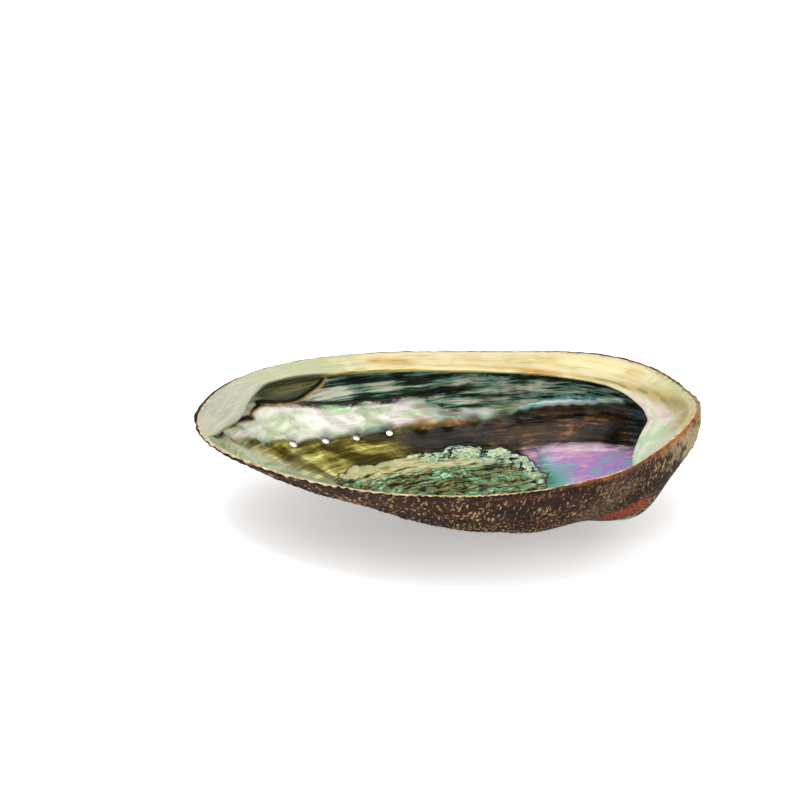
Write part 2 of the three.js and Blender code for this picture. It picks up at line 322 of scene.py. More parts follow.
def bowl_rise(points, share, turn):
    """How far the nacre stands into the bowl from its plain wall."""
    x, y, z = points.T
    radius, _, whorl = growth(x, y)
    degrees = np.degrees(turn) % 360
    keel = whorl * radius * KEEL_MM
    rise = np.zeros(len(x))
    wall = mix(YOUNG_WALL, OLD_WALL, knob_point[:, 0] / LENGTH + 0.5)
    for centre, size in zip(knob_point - knob_normal * wall[:, None], knob_size):
        away = np.linalg.norm(points - centre, axis=1)
        rise = rise - PIT_DEPTH * size * bell(away / (3.0 * size))
        rise = rise + 0.45 * size * bell((away - 4.2 * size) / (1.6 * size)) * (z > centre[2])
    # Flutes that climb the wall between the holes, and the groove above them.
    step = (KNOB_FIRST - np.degrees(np.arctan2(y - APEX[1], x - APEX[0]))) / KNOB_STEP
    climb = window(0.5, 9, 2.5, keel) * window(60, 178, 8, degrees)
    rise = rise + 0.65 * climb * np.cos(TAU * (step + 0.5 + 0.02 * keel))
    fold = (z - keyed_open(FOLD, turn)) / WALL_LEAN
    far = window(88, 152, 5, degrees)
    rise = rise - far * (0.9 * bell(fold / 0.9) - 0.5 * bell((fold + 2.2) / 1.3))
    # Wavy folds that fade in along the far wall towards the spire.
    folds = window(56, 92, 6, degrees) * window(-3.5, 8, 1.5, keel)
    ripple = np.sin(TAU * (keel / 3.4 + 0.35 * np.sin(x / 7) + 0.12 * np.sin(x / 2.3)))
    rise = rise + folds * 0.35 * ripple * (1 + mottle(points, 9, 4.7))
    above = above_ledge(x, z, turn)
    ledge = window(36, 80, 5, degrees)
    lip_of_ledge = 1.5 * bell((above - 0.3) / 1.2) + 0.5 * window(0, 5, 1.5, above)
    rise = rise + ledge * (lip_of_ledge - 0.6 * bell((above + 2.4) / 1.6))
    rise = rise - 1.1 * spots(CAVERNS, x, y, z) + 0.9 * spots(PEARLS, x, y, z, 1.3)
    # Edge of the shelf's drape: its nacre lies half a millimetre thick on the bowl's.
    drape = (z - keyed_open(DRAPE, turn)) / WALL_LEAN
    draped = 0.7 * ramp(-0.3, 0.5, drape) - 0.35 * bell((drape + 0.8) / 0.8)
    rise = rise + window(117, 184, 4, degrees) * draped
    # The scar: flaky terraces with a raised border.
    inside_scar = ramp(-1.2, 0.6, -scar_distance(x, y))
    flakes = np.abs(mottle(points * [1, 2.2, 1], 7.5, 5.5))
    terraces = np.floor(flakes * 7 + 0.5) / 7
    flaky = 0.25 + 1.5 * (mix(flakes, terraces, 0.8) - 0.2)
    rise = rise + inside_scar * (flaky + 0.3 * mottle(points, 2.2, 9.2))
    # Soft swell everywhere, drawn out the way the shell grew.
    rise = rise + 0.35 * mottle(points * [0.5, 1, 1], 6.5, 2.4)
    return rise * (1 - ramp(0.955, 1, share))


def scar_distance(x, y):
    """Distance from the scar's outline in mm, negative inside it, with a ragged edge."""
    ring = np.array(SCAR, float)
    best = np.full(len(x), np.inf)
    inside = np.zeros(len(x), bool)
    for (ax, ay), (bx, by) in zip(ring, np.roll(ring, -1, 0)):
        along = ((x - ax) * (bx - ax) + (y - ay) * (by - ay)) / ((bx - ax) ** 2 + (by - ay) ** 2)
        along = np.clip(along, 0, 1)
        best = np.minimum(best, np.hypot(x - mix(ax, bx, along), y - mix(ay, by, along)))
        crosses = (ay > y) != (by > y)
        inside ^= crosses & (x < (bx - ax) * (y - ay) / (by - ay + 1e-9) + ax)
    flat = np.stack([x, y, x * 0], -1)
    ragged = mottle(flat, 5, 4.4) * 1.6 + mottle(flat, 1.8, 8.4) * 0.6
    return np.where(inside, -best, best) + ragged


def rim_section(turn, outer_edge, inner_edge, scallop):
    """Nine rows of points over the rim, from the edge of the back to the edge of the bowl."""
    shelf = shelf_share(turn)[:, None]
    root = inner_edge
    edge = mouth(turn)
    root_in = np.hypot(*edge.T) - np.hypot(root[:, 0], root[:, 1])
    excess = keyed(SHELF, turn) - root_in - 0.5
    width = root_in + 0.5 + (excess + np.hypot(excess, 1)) / 2
    degrees = np.mod(np.degrees(turn) + 90, 360) - 90
    trough = TROUGH * ramp(-10, 14, degrees) * (1 - ramp(48, 84, degrees))
    fall = mix(1.2, 1.6, shelf[:, 0]) + trough * 0.6
    lift = wave(RIM_LIFT, turn)
    s = shelf[:, 0]
    rows = [
        (0.2, 0.3, 0.9 + 0 * s, 0.5 + 0 * s),
        (0.4, 0.4, width * 0.3, -0.2 - trough * 0.35),
        (0.56, 0.4, width * 0.55, -0.7 - trough),
        (0.7, 0.32, width * 0.82, -0.9 - trough * 0.8),
        (0.8, 0.24, width, -fall),
        (0.88, 0.15, width - 0.5 * s, -fall - 1.2 * s),
    ]
    radius, _, whorl = growth(edge[:, 0], edge[:, 1])
    teeth = 0.3 * np.cos(TAU * CORDS * 0.72 * whorl + 1.5 * np.sin(0.3 * edge[:, 0]))
    teeth = teeth * (1 - s) * ramp(30, 60, radius)
    top = np.concatenate([edge, lift[:, None]], -1)
    section = [outer_edge]
    for k, (share, rise, distance, height) in enumerate(rows):
        up = rise + teeth * (1, 0.7, 0.2, 0, 0, 0)[k]
        thin = mix(top, root, share) + np.stack([0 * s, 0 * s, up], -1)
        wide = np.concatenate(
            [edge * (1 - distance / np.hypot(*edge.T))[:, None], (height + lift)[:, None]], -1
        )
        section.append(mix(thin, wide, shelf) + scallop * (0.7, 0.25, 0, 0, 0, 0)[k])
    section.append(mix(section[6], root, 0.5))
    section.append(inner_edge)
    return np.stack(section)


def smooth_section(section, at):
    """Smooth line through a section: the clamped cubic B-spline with its points as the controls."""
    degree, count = 3, len(section)
    knots = np.concatenate([[0] * degree, np.arange(count - degree + 1), [count - degree] * degree])
    weights = [np.where((at >= low) & (at < high), 1.0, 0.0) for low, high in zip(knots, knots[1:])]
    for d in range(1, degree + 1):
        weights = [
            (at - knots[i]) / max(knots[i + d] - knots[i], 1e-9) * weights[i]
            + (knots[i + d + 1] - at) / max(knots[i + d + 1] - knots[i + 1], 1e-9) * weights[i + 1]
            for i in range(len(weights) - 1)
        ]
    return sum(w[:, None] * row for w, row in zip(weights, section))


# --- The sheet, modelled flat: two square nets, one above the other, joined round their edges ---
def deselect():
    bpy.ops.object.select_all(action="DESELECT")


deselect()
nets = []
for up in (0, 1):
    bpy.ops.mesh.primitive_grid_add(
        x_subdivisions=GRID, y_subdivisions=GRID, size=2, location=(0, 0, up)
    )
    nets.append(bpy.context.active_object)
shell = nets[1]
nets[0].select_set(True)
bpy.ops.object.join()
bpy.ops.object.transform_apply(location=True, rotation=True, scale=True)
bpy.ops.object.mode_set(mode="EDIT")
bpy.ops.mesh.select_mode(type="EDGE")
bpy.ops.mesh.select_all(action="DESELECT")
bpy.ops.mesh.select_non_manifold(
    extend=False, use_wire=False, use_multi_face=False, use_non_contiguous=False, use_verts=False
)
bpy.ops.mesh.bridge_edge_loops(number_cuts=RIM_ROWS - 1, interpolation="LINEAR")
bpy.ops.mesh.select_all(action="SELECT")
bpy.ops.mesh.normals_make_consistent(inside=False)
bpy.ops.object.mode_set(mode="OBJECT")

flat = np.empty(len(shell.data.vertices) * 3)
shell.data.vertices.foreach_get("co", flat)
flat = flat.reshape(-1, 3)
# Place of each point on the disc: the square's edge becomes the mouth.
a, b = flat[:, 0].copy(), flat[:, 1].copy()
wide = np.abs(a) >= np.abs(b)
big = np.where(wide, a, b)
big = np.where(np.abs(big) < 1e-6, 1e-6, big)
lean = math.pi / 4 * np.where(wide, b, a) / big
side = np.where(wide, np.where(a < 0, math.pi, 0) + lean, np.sign(b) * math.pi / 2 - lean)
turn = np.mod(side, TAU)
share = np.clip(np.maximum(np.abs(a), np.abs(b)), 0, 1)
height = flat[:, 2]
on_back, on_bowl = height < 1e-4, height > 1 - 1e-4
on_rim = ~on_back & ~on_bowl
rim = np.where(on_back, 0, np.where(on_bowl, 6.0, height * 6))

# --- The shape ----------------------------------------------------------------------------------
placed = np.zeros_like(flat)
plain = dome(share[on_back], turn[on_back])
outward = dome_normal(share[on_back], turn[on_back])
placed[on_back] = plain + outward * crust_rise(plain, share[on_back])[:, None]
behind, wall = wall_at(share[on_bowl], turn[on_bowl])
outward = dome_normal(behind, turn[on_bowl])
plain = dome(behind, turn[on_bowl]) - outward * wall[:, None]
placed[on_bowl] = plain - outward * bowl_rise(plain, share[on_bowl], turn[on_bowl])[:, None]
plain_bowl = plain

edge_turn = turn[on_rim]
ones = np.ones(len(edge_turn))
edge_dome = dome(ones, edge_turn)
edge_out = dome_normal(ones, edge_turn)
scallop = edge_out * (crust_rise(edge_dome, ones) * mix(1, 0.35, shelf_share(edge_turn)))[:, None]
behind, wall = wall_at(ones, edge_turn)
inner_edge = dome(behind, edge_turn) - dome_normal(behind, edge_turn) * wall[:, None]
section = rim_section(edge_turn, edge_dome + scallop, inner_edge, scallop)
placed[on_rim] = smooth_section(section, rim[on_rim])
# The shelf is not quite even: low swells across it and fine growth steps along it.
on_shelf = window(1.3, 4.6, 0.5, rim) * shelf_share(turn)
swell = 0.22 * mottle(placed, 9, 6.6) + 0.12 * mottle(placed * [0.4, 1, 1], 2.6, 2.2)
placed[:, 2] += on_shelf * swell
even = placed.copy()  # the shape before its relief, along which the streaks run
even[on_bowl] = plain_bowl

# --- The way it lies ----------------------------------------------------------------------------
lie = Vector(REST_DOWN).normalized().rotation_difference(Vector((0, 0, -1))).to_matrix()
turned = placed @ np.array(lie).T
floor_height = turned[:, 2].min() + WORN_FLAT
turned[:, 2] = np.maximum(turned[:, 2], floor_height)
cad_low, cad_high = np.array(CAD_BOX[0]) * 1000, np.array(CAD_BOX[1]) * 1000
low, high = turned.min(0), turned.max(0)
drop = (cad_low + cad_high) / 2 - (low + high) / 2
drop[2] = -low[2]


def to_rest(point):
    """Point of the level mouth's frame in mm, as it lies, in metres."""
    return (Vector(lie @ Vector(point)) + Vector(drop)) / 1000


shell.data.vertices.foreach_set("co", ((turned + drop) / 1000).ravel())
shell.data.update()
shell.name = "abalone_shell"
shell.data.name = "abalone_shell"
before = kdtree.KDTree(len(placed))
for i, point in enumerate((turned + drop) / 1000):
    before.insert(point, i)
before.balance()

# --- The open holes -----------------------------------------------------------------------------
cutters = []
for k in range(OPEN_HOLES):
    radius = HOLE_RADIUS * knob_size[k] / 1000
    bore = lie @ Vector(mix(knob_normal[k], BORE, BORE_SLANT[k]))
    deselect()
    bpy.ops.mesh.primitive_cone_add(
        vertices=24, radius1=radius * 0.9, radius2=radius, depth=0.014,
        location=to_rest(knob_point[k] - 1.4 * knob_normal[k]),
        rotation=bore.to_track_quat("Z", "Y").to_euler(),
    )
    cutters.append(bpy.context.active_object)
deselect()
for cutter in cutters:
    cutter.select_set(True)
bpy.context.view_layer.objects.active = cutters[0]
bpy.ops.object.join()
deselect()
shell.select_set(True)
bpy.context.view_layer.objects.active = shell
cut = shell.modifiers.new("holes", "BOOLEAN")
cut.operation, cut.solver, cut.object = "DIFFERENCE", "EXACT", cutters[0]
bpy.ops.object.modifier_apply(modifier="holes")
bpy.data.objects.remove(cutters[0])

mesh = shell.data
count = len(mesh.vertices)
final = np.empty(count * 3)
mesh.vertices.foreach_get("co", final)
final = final.reshape(-1, 3)
source = np.array([before.find(point)[1] for point in final])
place = (final * 1000 - drop) @ np.array(lie)  # back in the level mouth's frame, in mm
share, turn, rim = share[source], turn[source], rim[source]
was_bowl, was_back = on_bowl[source], on_back[source]

# --- What the materials read --------------------------------------------------------------------
x, y, z = place.T
degrees = np.degrees(turn) % 360
around = (degrees + 180) % 360 - 180
even = even[source]
radius, spiral_turn, whorl = growth(even[:, 0], even[:, 1])
keel = whorl * radius * KEEL_MM
bowl = np.where(was_bowl, 1.0, np.where(was_back, 0.0, ramp(4.9, 5.3, rim)))
drape = np.where(rim < 4.7, 20, (z - keyed_open(DRAPE, turn)) / WALL_LEAN)
drape = np.where((degrees > 116) & (degrees < 188), drape, -20)
fold = (z - keyed_open(FOLD, turn)) / WALL_LEAN
scar = scar_distance(x, y)
step = (KNOB_FIRST - np.degrees(spiral_turn)) / KNOB_STEP
# Dark brown over the hollow round each hole, partly painted shade.
pit = np.zeros(count)
for centre, normal, size, k in zip(knob_point, knob_normal, knob_size, range(KNOB_COUNT)):
    off = place - centre - size * np.array((0.4, 0, 1.4))
    away = np.linalg.norm(off - (off @ normal)[:, None] * normal, axis=1)
    brown = PIT_SHADE_BROWN[k] if k < len(PIT_SHADE_BROWN) else OLD_PIT_SHADE_BROWN
    spread = (2.4 + 0.4 * min(k, 6)) * size
    pit = np.maximum(pit, brown * bell(away / spread) * (np.abs(off @ normal) < 9))
far_wall = window(24, 186, 5, degrees)
above = above_ledge(x, z, turn)
gutter = 1 + 2.6 * np.clip(around / 52, 0, 1.2) ** 2
cavern, pearl_highlight = spots(CAVERNS, x, y, z), spots(PEARLS, x, y, z)
masks = {
    "rim": rim,
    "bowl": bowl,
    "shelf": shelf_share(turn),
    "drape": drape,
    "fold": np.clip(fold, -8, 8),
    "fold_at": 0.95 * window(84, 155, 4, degrees) * bowl,
    "scar": scar,
    "aqua": ramp(-22, -14, x) * (1 - ramp(24, 30, x)) * ramp(10, 20, y),
    "straw": (
        window(0.4 + 4.2 * ramp(-14, -6, x), 7.0, 0.8, -scar)
        * (1 - ramp(4, 12, x)) * ramp(8, 12, y)
    ),
    "pit": 0.85 * pit * bowl,
    # Bright pearl on the far wall of the growing end, over the holes.
    "band": (1 - ramp(-18, 2, x)) * ramp(-1.8, 0.4, keel + 0.3 * np.cos(TAU * step)) * far_wall,
    # The wall above the groove, lighter further down by painted light, and the painted shade in the
    # strip right under the shelf.
    "above": window(46, 148, 6, degrees) * ramp(-0.8, 0.8, mix(fold, keel + 0.4, ramp(-14, 2, x))),
    "lit_above": 1 - ramp(-10.5, -7, z),
    "shade": window(22, 118, 8, degrees) * ramp(-8.0, -6.0, z) * bowl,
    # Gold and brown below the holes, darkened by painted shade, and at the spire the painted shade
    # on the wall under the ledge.
    "mid": far_wall * ramp(-0.6, -3.4, keel) * ramp(-26, -6, x),
    "low_left": window(24, 182, 15, degrees) * ramp(0.5, -2.5, keel) * ramp(6, -14, x),
    "lip_side": window(176, 262, 12, degrees) * ramp(0.62, 0.86, share) * bowl,
    "teal_wall": window(20, 70, 6, degrees) * ramp(-0.2, 0.2, above),
    "over_ledge": np.clip(above, -8, 8),
    "ledge": window(36, 76, 3, degrees) * bowl,
    "pearl_highlight": pearl_highlight * bowl,
    # Painted shade under the ledge and in the caverns.
    "shaded_hollow": 0.92 * bowl * np.maximum(
        window(30, 80, 6, degrees) * window(-4.5, -0.6, 0.8, above), cavern
    ),
    "olive_gold": 0.8 * bell(np.hypot((x - 18.5) / 5, (z + 16.5) / 1.5)) * ramp(38, 42, y),
    # Painted shade on the end wall under the shelf at the spire end.
    "end": window(-36, 50, 6, around) * ramp(53, 59, x + 0.35 * (z + 20)),
    # Violet pool of nacre on the floor at the spire end, and the calmer nacre round the apex.
    "pool": (
        ramp(19, 36, x + 0.25 * (y - 20)) * (1 - ramp(54, 62, x))
        * ramp(-8.5, -12.5, keel) * window(-60, 75, 5, around)
    ),
    "pool_edge": (1 - ramp(30, 39, x + 0.5 * (y - 20))) * ramp(24, 30, x),
    "pool_top": 0.8 * ramp(-14, -9, keel) * ramp(20, 30, x),
    "near": 1 - ramp(-14, 8, y),
    "heart": 1 - ramp(8, 24, radius),
    "scar_near": 1 - ramp(-20, -4, y),
    "far_side": ramp(0, 14, y),
    # Shelf: how far along its colours run, its ochre gutter and the recess under its inner edge,
    # both darkened by painted shade, and its stains.
    "shelf_tone": keyed_open([
        [0, 0.66], [20, 0.5], [40, 0.36], [70, 0.3], [100, 0.34], [118, 0.48], [135, 0.6],
        [152, 0.76], [172, 0.86], [190, 0.7], [300, 0.75], [330, 0.8], [345, 0.72], [360, 0.66],
    ], turn),
    "ochre": 0.85 * window(-10, 54, 8, around) * bell((rim - gutter) / 0.7),
    "plateau": 0.8 * window(-46, 34, 9, around) * ramp(0.3, 0.8, rim - gutter),
    "stain": 0.7 * np.maximum(
        window(99, 114, 5, degrees) * window(1.2, 3.0, 1.0, rim + 0.06 * (degrees - 106)),
        np.maximum(
            window(58, 72, 5, degrees) * window(2.9, 4.6, 0.4, rim)
            + window(84, 126, 4, degrees) * window(3.75, 4.5, 0.15, rim),
            1.2 * window(0.2, 2.0, 1.4, -drape) * window(118, 176, 3, degrees) * bowl,
        ),
    ),
    # Olive nacre in the recess under the shelf's inner edge, darkened as painted shade.
    "recess": 0.92 * window(119, 146, 4, degrees) * ramp(3.4, 4.9, rim) * ramp(-0.5, 1.5, drape),
    # Back: the worn spire and the darker band by the lip.
    "spire": (
        (1 - ramp(1, 8, np.hypot(1.4 * (y + 21), 1.6 * (z + 19 - 0.45 * (x - 52)))))
        * window(43, 58, 2, x)
    ),
    "apex": 1 - ramp(3, 9, np.hypot(np.hypot(x - 51, y + 13), z + 24)),
    "spire_end": ramp(50, 74, x) * ramp(-22, -4, z),
    "amber_lip": (
        0.75 * window(-64, 2, 5, around) * np.where(was_back, ramp(0.975, 0.995, share), 1.0)
    ),
    "back_edge": 0.5 * np.where(was_back, ramp(0.86, 1, share), 1.0),
}
ON_BACK = ("spire", "apex", "spire_end", "amber_lip", "back_edge", "far_side")
for name, values in masks.items():
    held = mesh.attributes.new(name, "FLOAT", "POINT")
    held.data.foreach_set("value", np.ascontiguousarray(values, dtype=np.float32))

# UV map of whorl and age, unrolled along the spiral, each face on one turn of it.
loops = len(mesh.loops)
corner = np.empty(loops, dtype=np.int32)
mesh.loops.foreach_get("vertex_index", corner)
starts = np.empty(len(mesh.polygons), dtype=np.int32)
sizes = np.empty(len(mesh.polygons), dtype=np.int32)
mesh.polygons.foreach_get("loop_start", starts)
mesh.polygons.foreach_get("loop_total", sizes)
owner = np.repeat(np.arange(len(starts)), sizes)
first = corner[starts][owner]
lag = spiral_turn[corner] - spiral_turn[first]
near_turn = spiral_turn[corner] - TAU * np.round(lag / TAU)
near_whorl = whorl[corner] + np.round(lag / TAU)
inner_turns = np.maximum(0, np.ceil(-1 - whorl[first]))
near_turn = near_turn - TAU * inner_turns
near_whorl = near_whorl + inner_turns
age = (np.log(radius[corner]) + 1.3 * near_turn) / 1.8
# Height counts too, so that streaks keep their width and the crust's dashes their length up the
# steep walls.
in_bowl = rim[corner] > 0.4
near_whorl = near_whorl + even[corner, 2] / MM_PER_CLIMB * in_bowl
age = age + even[corner, 2] / MM_PER_AGE * ~in_bowl
uv = mesh.uv_layers.new(name="growth")
uv.data.foreach_set("uv", np.stack([near_whorl, age], -1).astype(np.float32).ravel())
mesh.uv_layers.active = uv


# --- Materials ----------------------------------------------------------------------------------
def linear(code):
    """Linear colour of an sRGB hex value."""
    parts = [int(code[i : i + 2], 16) / 255 for i in (1, 3, 5)]
    return [p / 12.92 if p <= 0.04045 else ((p + 0.055) / 1.055) ** 2.4 for p in parts] + [1]


def add(kind, inputs=(), output=0, stops=(), **settings):
    """Add a node to the material's tree and give one of its outputs. Its inputs, in order or by
    name, are linked or set. A ramp's stops are colours or grey levels."""
    made = tree.nodes.new("ShaderNode" + kind)
    for name, setting in settings.items():
        setattr(made, name, setting)
    if stops:
        marks = made.color_ramp.elements
        while len(marks) < len(stops):
            marks.new(0.5)
        for mark, (at, code) in zip(marks, stops):
            mark.position = at
            mark.color = linear(code) if isinstance(code, str) else (code, code, code, 1)
    for key, given in inputs.items() if isinstance(inputs, dict) else enumerate(inputs):
        if isinstance(given, bpy.types.NodeSocket):
            tree.links.new(given, made.inputs[key])
        else:
            made.inputs[key].default_value = given
    return made.outputs[output] if made.outputs else None


def material(name):
    made = bpy.data.materials.new(name)
    made.use_nodes = True
    made.node_tree.nodes.clear()
    return made, made.node_tree


# Nacre: layers of aragonite platelets laid by the animal, smooth to the touch. Their thickness
# splits the light, so the colour runs from teal through green, gold and pink to violet in streaks
# along the growth, with dark places between that are partly painted shade, under a wet-looking
# gloss, and a painted highlight along the ledge.
nacre, tree = material("polished_nacre")
value = {
    name: add("Attribute", output="Fac", attribute_name=name)
    for name in masks if name not in ON_BACK
}
grown = add("UVMap", output="UV", uv_map="growth")
object_place = add("TexCoord", output="Object")


def weigh(*parts):
    """0.5 and the noises about it, each stretched by its weight."""
    total = 0.5
    for noise_value, weight in parts:
        total = add(
            "Math",
            (add("Math", (noise_value, weight, -0.5 * weight), operation="MULTIPLY_ADD"), total),
            operation="ADD",
        )
    return total


def streaks(across, along, detail=3.0, rough=0.55, warp=0.0):
    """Noise drawn out along the growth: lumps so many mm across it and along it, at the lip."""
    scale = (MM_PER_WHORL / across, MM_PER_AGE / along, 1)
    moved = add("Mapping", {"Vector": grown, "Scale": scale})
    return add(
        "TexNoise",
        {"Vector": moved, "Scale": 1.0, "Detail": detail, "Roughness": rough, "Distortion": warp},
    )


long_streaks = streaks(3.6, 30, 4, 0.6, 0.25)
fine_streaks = streaks(1.1, 11, 4, 0.65, 0.3)
patches, ripples, chalk = [
    add(
        "TexNoise",
        {
            "Vector": object_place, "Scale": 1000 / size, "Detail": detail, "Roughness": rough,
            "Distortion": warp,
        },
    )
    for size, detail, rough, warp in ((12, 4, 0.55, 0.8), (3.4, 3, 0.6, 1.4), (2, 3, 0.55, 0))
]
ragged = weigh((long_streaks, 1.6), (ripples, 1.2))


def zone(name, gain=1.0, wander=ragged, reach=0.8, known=0.25, first=0.3):
    """A zone's share with a ragged edge. Noise moves it by up to half of reach, and by less where
    the zone is within known of 0 or 1. It starts to show at first."""
    moving = add(
        "ValToRGB", (value[name],),
        stops=((0.0, 0.0), (known, 1.0), (1 - known, 1.0), (1.0, 0.0)),
    )
    edge = add("Math", (wander, reach, -reach / 2), operation="MULTIPLY_ADD")
    moved = add("Math", (edge, moving, value[name]), operation="MULTIPLY_ADD")
    share = add("ValToRGB", (moved,), stops=((first, 0.0), (1 - first, 1.0)))
    return add("Math", (share, gain), operation="MULTIPLY")


drifting = weigh((patches, 1.8), (long_streaks, 1.0))


def soft(name, gain=1.0):
    """A zone's share with a wide soft edge."""
    return zone(name, gain, drifting, 0.6, 0.3, 0.12)


def line(name, wander, at, whole, gone):
    """A line along a zone's edge that wavers, whole and gone at so many mm from its middle."""
    off = add("Math", (value[name], -at), operation="ADD")
    off = add("Math", (ripples, wander, off), operation="MULTIPLY_ADD")
    off = add("Math", (add("Math", (off,), operation="ABSOLUTE"), 0.5), operation="MULTIPLY")
    return add("ValToRGB", (off,), stops=((whole / 2, 1.0), (gone / 2, 0.0)))


def laid(under, films):
    """A colour with films laid over it in turn: each one's share, pattern and colours."""
    for cover, pattern, stops in films:
        film = add("ValToRGB", (pattern,), stops=stops)
        under = add("Mix", {0: cover, 6: under, 7: film}, output=2, data_type="RGBA")
    return under


calm = weigh((long_streaks, 1.6), (patches, 2.4))
wild = weigh((long_streaks, 2.6), (fine_streaks, 1.8), (patches, 1.0))
lit_wild = add("Math", (value["lit_above"], 0.4, -0.2), operation="MULTIPLY_ADD")
lit_wild = add("Math", (wild, lit_wild), operation="ADD")
colour = add(
    "ValToRGB", (weigh((long_streaks, 0.8), (fine_streaks, 0.4), (patches, 1.5)),),
    stops=(
        (0.2, "#7d9b8b"), (0.36, "#84a482"), (0.48, "#a6b18e"), (0.6, "#ae9b96"),
        (0.72, "#8ba2a4"), (0.86, "#96bfa4"),
    ),
)
colour = laid(colour, (
    (
        soft("low_left"), weigh((long_streaks, 1.3), (fine_streaks, 0.7), (patches, 2.0)),
        (
            (0.15, "#322a0a"), (0.34, "#493e12"), (0.48, "#65561a"), (0.6, "#848233"),
            (0.74, "#bba658"), (0.9, "#e8fba1"),
        ),
    ),
    (
        soft("lip_side", 0.85), weigh((long_streaks, 1.3), (fine_streaks, 0.9), (patches, 1.4)),
        (
            (0.15, "#838e69"), (0.34, "#8f9f62"), (0.5, "#b6ca97"), (0.62, "#cddab5"),
            (0.75, "#c6b59f"), (0.9, "#a9d1aa"),
        ),
    ),
    # Below the holes: brown nacre darkened as painted shade.
    (
        soft("mid"), weigh((long_streaks, 1.8), (fine_streaks, 1.0), (patches, 2.4)),
        (
            (0.12, "#030201"), (0.38, "#140a02"), (0.54, "#281706"), (0.68, "#30290a"),
            (0.82, "#46290d"), (0.94, "#6b4322"), (1.0, "#8c623b"),
        ),
    ),
    (
        soft("band"), calm,
        (
            (0.05, "#c4d0ae"), (0.25, "#e4ecd2"), (0.42, "#f8f4e8"), (0.56, "#fffdf8"),
            (0.7, "#f9d9e4"), (0.86, "#cdf3bc"),
        ),
    ),
    (
        zone("teal_wall"), weigh((long_streaks, 2.0), (patches, 2.4)),
        (
            (0.08, "#2e484d"), (0.3, "#6fb7bd"), (0.5, "#ccffff"), (0.64, "#fbffff"),
            (0.78, "#ffffff"),
        ),
    ),
    (
        zone("above"), lit_wild,
        (
            (0.15, "#060808"), (0.38, "#141d19"), (0.5, "#273f33"), (0.58, "#465a22"),
            (0.66, "#4b8d75"), (0.78, "#88bfa7"), (0.88, "#c3a9a5"), (1.0, "#e8edd4"),
        ),
    ),
    (value["olive_gold"], wild, ((0.3, "#2f2a08"), (0.5, "#7d7a1f"), (0.7, "#b9a23a"))),
    # Painted shade under the ledge and in the caverns.
    (value["shaded_hollow"], wild, ((0.3, "#0a0806"), (0.6, "#21180f"), (0.85, "#4f3c2a"))),
))
# Painted highlight along the ledge's lip and on the pearly bumps.
ledge = line("over_ledge", 1.6, 1.15, 0.35, 0.95)
ledge = add("Math", (ledge, value["ledge"]), operation="MULTIPLY")
glint = add("ValToRGB", (fine_streaks,), stops=((0.36, 0.6), (0.5, 1.0)))
ledge = add("Math", (ledge, glint), operation="MULTIPLY")
ledge = add("Math", (ledge, value["pearl_highlight"]), operation="MAXIMUM")
colour = laid(colour, (
    (ledge, calm, ((0.25, "#9fe3d6"), (0.5, "#f6fffc"), (0.8, "#dff3f4"))),
    # Painted shade on the end wall under the shelf.
    (zone("end", 0.92), wild, ((0.2, "#121414"), (0.5, "#2c2f30"), (0.75, "#5b5a5e"))),
    (
        zone("shade", 0.95), wild,
        ((0.2, "#0a0f0e"), (0.46, "#213a36"), (0.62, "#4f857b"), (0.84, "#a0d2c6")),
    ),
))
pool_colour = add(
    "ValToRGB",
    (weigh((long_streaks, 1.2), (fine_streaks, 0.6), (ripples, 0.8), (patches, 1.6)),),
    stops=(
        (0.1, "#7fb7ac"), (0.22, "#a9a4cf"), (0.38, "#ac88cc"), (0.52, "#c394d2"),
        (0.66, "#d79abf"), (0.8, "#dcb3bb"), (0.94, "#e4e0ee"),
    ),
)
pool_colour = laid(pool_colour, (
    (value["pool_edge"], calm, ((0.3, "#6fb5a4"), (0.5, "#93c9bd"), (0.7, "#c0c6e2"))),
    (value["pool_top"], calm, ((0.3, "#8c5a4a"), (0.5, "#e3b4c0"), (0.7, "#f1dde6"))),
    (
        value["heart"], weigh((patches, 2.2), (ripples, 0.8)),
        (
            (0.2, "#8dbab4"), (0.4, "#b79ad0"), (0.55, "#cf9fd0"), (0.7, "#d9a9c0"),
            (0.88, "#dfe0ee"),
        ),
    ),
))
colour = add("Mix", {0: soft("pool"), 6: colour, 7: pool_colour}, output=2, data_type="RGBA")
# Olive-brown to amber over the hollows round the holes, partly painted shade.
colour = laid(colour, (
    (value["pit"], calm, ((0.3, "#1c1608"), (0.5, "#4f4216"), (0.7, "#9a6a1c"))),
))

# The scar: rougher platelets in flakes, cream and straw where it is worn, with black cracks.
inside_scar = add("Math", (value["scar_near"], 0.17, -0.2), operation="MULTIPLY_ADD")
inside_scar = add("Math", (value["scar"], inside_scar), operation="MULTIPLY")
inside_scar = add("ValToRGB", (inside_scar,), stops=((0.0, 0.0), (0.08, 1.0)))
fade = add("Math", (value["scar_near"], -0.5, 1.0), operation="MULTIPLY_ADD")
inside_scar = add("Math", (inside_scar, fade), operation="MULTIPLY")
stir = add("TexNoise", {"Vector": object_place, "Scale": 260.0, "Detail": 3.0}, output="Color")
stir = add("VectorMath", {0: stir, 1: (0.5, 0.5, 0.5)}, operation="SUBTRACT")
stir = add("VectorMath", {0: stir, 3: 0.013}, operation="SCALE")
flake_place = add("VectorMath", {0: object_place, 1: stir}, operation="ADD")
flake_place = add("Mapping", {"Vector": flake_place, "Scale": (0.42, 1.0, 1.0)})
flakes = [
    add("TexVoronoi", {"Vector": flake_place, "Scale": 1000 / 1.9}, output=output, feature=feature)
    for (feature, output) in (("DISTANCE_TO_EDGE", "Distance"), ("F1", "Color"))
]
flake_band = add("Math", (value["scar"], -0.1), operation="MULTIPLY")
flake_band = add("ValToRGB", (flake_band,), stops=((0.0, 1.0), (0.42, 0.9), (0.62, 0.0)))
